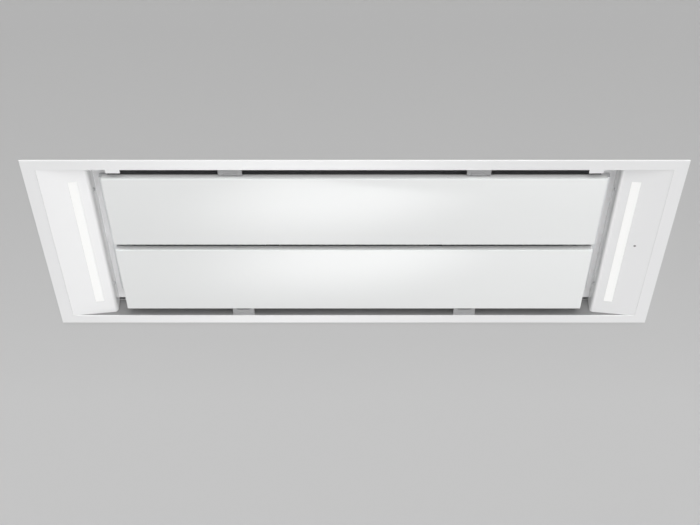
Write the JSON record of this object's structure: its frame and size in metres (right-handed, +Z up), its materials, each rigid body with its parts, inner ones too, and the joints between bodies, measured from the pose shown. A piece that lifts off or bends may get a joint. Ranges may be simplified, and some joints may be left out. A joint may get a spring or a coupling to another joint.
{
  "type": "ceiling range hood",
  "caption": "White ceiling hood with flush glass panels, suction gaps all round them, slim end lights, metal filters, a double-inlet blower and a round duct collar on top.",
  "frame": {"origin": "middle of the underside, in the plane of the rim and the closed panels", "axes": "+Z up into the ceiling towards the duct collar, +X along the hood towards the end with the receiver, -Y towards the near long side"},
  "size_m": [1.2, 0.5, 0.36],
  "materials": {
    "white_painted_steel": "smooth white powder coat, low gloss",
    "white_glass": "opaque white back-lacquered glass, polished",
    "panel_back_steel": "white coated sheet",
    "frosted_cover": "frosted white light cover",
    "lamp_aluminium": "extruded, satin",
    "light_board": "white circuit strip with light chips",
    "receiver_lens": "smoked translucent lens",
    "recess_steel": "satin grey sheet, finely brushed",
    "hinge_steel": "pressed steel, light grey coat",
    "rail_steel": "grey coated sheet, satin",
    "bright_steel": "bright zinc-plated steel",
    "galvanised_steel": "galvanised sheet with spangle",
    "catch_plastic": "dark moulded housing of a magnet catch",
    "filter_aluminium": "folded mesh in a pressed frame",
    "latch_plastic": "dark grey moulded plastic",
    "blower_plastic": "black moulded plastic",
    "impeller_plastic": "dark grey moulded plastic",
    "motor_casting": "die-cast, rough",
    "collar_plastic": "black moulded plastic",
    "flap_aluminium": "thin stamped sheet",
    "box_plastic": "grey moulded plastic",
    "circuit_board": "green board with parts",
    "terminal_plastic": "off-white moulded plastic",
    "gland_plastic": "black nylon",
    "driver_casing": "white moulded plastic"
  },
  "bodies": {
    "hood": {"blower_left_side": "blower_plastic", "blower_right_side": "blower_plastic", "blower_scroll": "blower_plastic", "cable_gland": "gland_plastic", "casing_far_wall": "galvanised_steel", "casing_left_wall": "galvanised_steel", "casing_near_wall": "galvanised_steel", "casing_right_wall": "galvanised_steel", "casing_screws": "bright_steel", "casing_top": "galvanised_steel", "circuit_board": "circuit_board", "control_box": "box_plastic", "control_box_lid": "box_plastic", "damper_pin": "bright_steel", "far_recess_wall": "recess_steel", "filter_plate": "white_painted_steel", "filter_rails": "rail_steel", "frame_rim": "white_painted_steel", "hinge_brackets": "hinge_steel", "hinge_pins": "bright_steel", "led_driver": "driver_casing", "left_filter_frame": "filter_aluminium", "left_filter_mesh": "filter_aluminium", "left_lamp_housing": "lamp_aluminium", "left_led_strip": "light_board", "left_light_diffuser": "frosted_cover", "left_light_plate": "white_painted_steel", "left_recess_wall": "white_painted_steel", "middle_filter_frame": "filter_aluminium", "middle_filter_mesh": "filter_aluminium", "motor": "motor_casting", "motor_bracket": "galvanised_steel", "near_recess_wall": "recess_steel", "outlet_collar": "collar_plastic", "panel_catches": "catch_plastic", "receiver_window": "receiver_lens", "recess_wall_screws": "bright_steel", "right_filter_frame": "filter_aluminium", "right_filter_mesh": "filter_aluminium", "right_lamp_housing": "lamp_aluminium", "right_led_strip": "light_board", "right_light_diffuser": "frosted_cover", "right_light_plate": "white_painted_steel", "right_recess_wall": "white_painted_steel", "suspension_brackets": "galvanised_steel", "terminal_block": "terminal_plastic"},
    "near_panel": {"near_panel_glass": "white_glass", "near_panel_tray": "panel_back_steel", "near_hinge_leaves": "hinge_steel"},
    "far_panel": {"far_panel_glass": "white_glass", "far_panel_tray": "panel_back_steel", "far_hinge_leaves": "hinge_steel"},
    "left_latch": {"left_filter_latch": "latch_plastic"},
    "middle_latch": {"middle_filter_latch": "latch_plastic"},
    "right_latch": {"right_filter_latch": "latch_plastic"},
    "fan_wheel": {"impeller": "impeller_plastic", "motor_shaft": "bright_steel"},
    "near_flap": {"near_damper_flap": "flap_aluminium"},
    "far_flap": {"far_damper_flap": "flap_aluminium"}
  },
  "joints": [
    {"name": "near_panel_hinge", "type": "hinge", "parent": "hood", "child": "near_panel", "pos_m": [0, -0.206, 0.009], "axis": [-1, 0, 0], "range_deg": [0, 90]},
    {"name": "far_panel_hinge", "type": "hinge", "parent": "hood", "child": "far_panel", "pos_m": [0, 0.206, 0.009], "axis": [1, 0, 0], "range_deg": [0, 90]},
    {"name": "left_latch_slide", "type": "slide", "parent": "hood", "child": "left_latch", "axis": [0, 1, 0], "range_m": [0, 0.007], "stiffness_N_per_m": 300, "springref_m": -0.005},
    {"name": "middle_latch_slide", "type": "slide", "parent": "hood", "child": "middle_latch", "axis": [0, 1, 0], "range_m": [0, 0.007], "stiffness_N_per_m": 300, "springref_m": -0.005},
    {"name": "right_latch_slide", "type": "slide", "parent": "hood", "child": "right_latch", "axis": [0, 1, 0], "range_m": [0, 0.007], "stiffness_N_per_m": 300, "springref_m": -0.005},
    {"name": "fan_spin", "type": "hinge", "parent": "hood", "child": "fan_wheel", "pos_m": [0, -0.067, 0.1788], "axis": [1, 0, 0], "continuous": true},
    {"name": "near_flap_hinge", "type": "hinge", "parent": "hood", "child": "near_flap", "pos_m": [0, 0, 0.3225], "axis": [-1, 0, 0], "range_deg": [0, 80]},
    {"name": "far_flap_hinge", "type": "hinge", "parent": "hood", "child": "far_flap", "pos_m": [0, 0, 0.3225], "axis": [1, 0, 0], "range_deg": [0, 80]}
  ]
}
